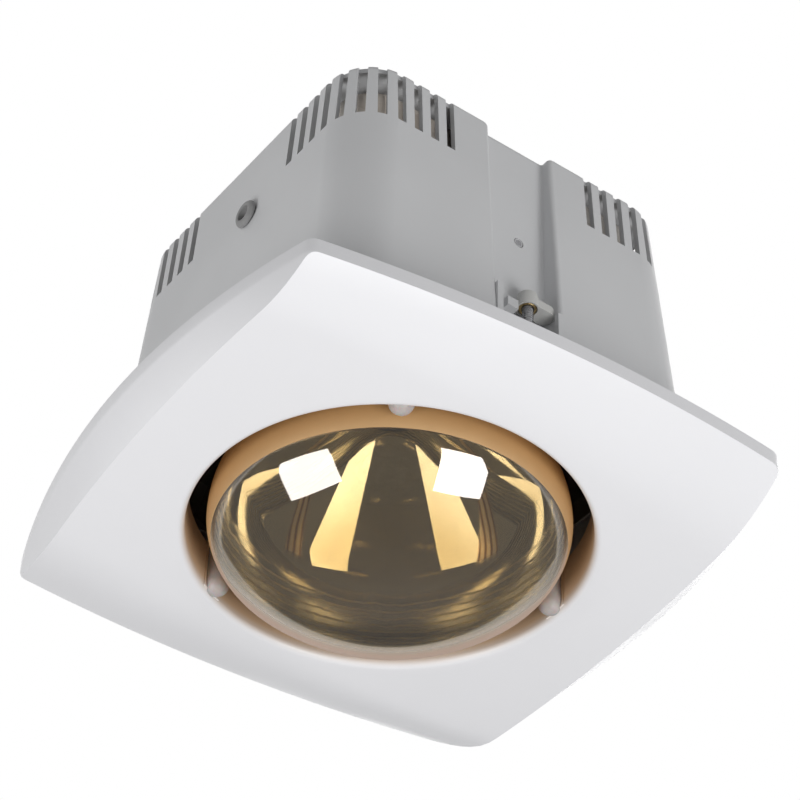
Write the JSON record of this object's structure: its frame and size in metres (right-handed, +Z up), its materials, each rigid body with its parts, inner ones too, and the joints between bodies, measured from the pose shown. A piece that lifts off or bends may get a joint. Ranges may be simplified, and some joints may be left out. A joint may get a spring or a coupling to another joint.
{
  "type": "recessed bathroom heat lamp",
  "caption": "Recessed ceiling heat lamp: a mirrored reflector bulb in a bowed square white fascia, under a vented grey housing with swing clamps.",
  "frame": {"origin": "centre of the ceiling cut-out, on the bulb's axis, in the plane of the ceiling's lower surface", "axes": "+Z up into the ceiling void along the bulb's axis; the clamp channels face -Y and +Y, and the cable inlet faces -X"},
  "size_m": [0.2166, 0.2118, 0.1718],
  "materials": {
    "white_abs": "white moulded plastic, soft gloss",
    "grey_plastic": "light grey moulded plastic, fine matt grain",
    "clamp_plastic": "off-white nylon",
    "silicone": "translucent white silicone",
    "steel_sheet": "plain steel sheet",
    "zinc_screw": "zinc-plated steel",
    "clear_glass": "clear polished glass",
    "bulb_mirror": "mirror coating inside the bulb, seen amber through the glass",
    "nickel_cap": "nickel-plated",
    "black_glass": "black glass insulator",
    "solder": "dull solder",
    "tungsten": "coiled tungsten wire",
    "lead_nickel": "nickel wire",
    "ceramic": "white steatite",
    "brass": "plain brass",
    "black_rubber": "black rubber",
    "wire_brown": "brown heat-proof insulation",
    "wire_blue": "blue heat-proof insulation",
    "wire_green": "green and yellow heat-proof insulation"
  },
  "bodies": {
    "housing": {"housing": "grey_plastic", "lamp_chamber": "steel_sheet", "chamber_screw_front": "zinc_screw", "chamber_screw_rear": "zinc_screw", "lampholder_body": "ceramic", "lampholder_shell": "brass", "lampholder_contact": "brass", "lampholder_screw_left": "zinc_screw", "lampholder_screw_right": "zinc_screw", "terminal_block": "ceramic", "terminal_block_screw": "zinc_screw", "terminal_screw_live": "brass", "terminal_screw_neutral": "brass", "terminal_screw_earth": "brass", "earth_tag": "brass", "earth_screw": "zinc_screw", "live_wire": "wire_brown", "neutral_wire": "wire_blue", "earth_wire": "wire_green", "cable_bush": "black_rubber", "cable_bush_nut": "grey_plastic"},
    "fascia": {"fascia": "white_abs", "bumper_near": "silicone", "bumper_right": "silicone", "bumper_left": "silicone"},
    "bulb": {"bulb_glass": "clear_glass", "bulb_mirror": "bulb_mirror", "bulb_cap_shell": "nickel_cap", "bulb_cap_insulator": "black_glass", "bulb_cap_contact": "solder", "bulb_stem": "clear_glass", "filament": "tungsten", "filament_lead_left": "lead_nickel", "filament_lead_right": "lead_nickel"},
    "clamp_screw_front": {"clamp_screw_front": "zinc_screw"},
    "clamp_insert_front": {"clamp_insert_front": "brass"},
    "clamp_dog_front": {"clamp_dog_front": "clamp_plastic"},
    "clamp_screw_rear": {"clamp_screw_rear": "zinc_screw"},
    "clamp_insert_rear": {"clamp_insert_rear": "brass"},
    "clamp_dog_rear": {"clamp_dog_rear": "clamp_plastic"}
  },
  "joints": [
    {"name": "fascia_unclip", "type": "slide", "parent": "housing", "child": "fascia", "axis": [0, 0, -1], "range_m": [0, 0.045]},
    {"name": "bulb_removal", "type": "slide", "parent": "housing", "child": "bulb", "axis": [0, 0, -1], "range_m": [0, 0.14]},
    {"name": "clamp_screw_turn_front", "type": "hinge", "parent": "housing", "child": "clamp_screw_front", "pos_m": [0.0045, -0.0705, 0.03], "axis": [0, 0, 1], "range_deg": [0, 5400]},
    {"name": "clamp_travel_front", "type": "slide", "parent": "housing", "child": "clamp_insert_front", "axis": [0, 0, -1], "range_m": [0, 0.03]},
    {"name": "clamp_swing_front", "type": "hinge", "parent": "clamp_insert_front", "child": "clamp_dog_front", "pos_m": [0.0045, -0.0705, 0.046], "axis": [0, 0, -1], "range_deg": [0, 90]},
    {"name": "clamp_screw_turn_rear", "type": "hinge", "parent": "housing", "child": "clamp_screw_rear", "pos_m": [-0.0015, 0.0705, 0.03], "axis": [0, 0, 1], "range_deg": [0, 5400]},
    {"name": "clamp_travel_rear", "type": "slide", "parent": "housing", "child": "clamp_insert_rear", "axis": [0, 0, -1], "range_m": [0, 0.03]},
    {"name": "clamp_swing_rear", "type": "hinge", "parent": "clamp_insert_rear", "child": "clamp_dog_rear", "pos_m": [-0.0015, 0.0705, 0.046], "axis": [0, 0, -1], "range_deg": [0, 90]}
  ],
  "couplings": [
    {"joint": "clamp_screw_turn_front", "follows": "clamp_travel_front", "rad_per_m": 3141.6},
    {"joint": "clamp_screw_turn_rear", "follows": "clamp_travel_rear", "rad_per_m": 3141.6}
  ]
}
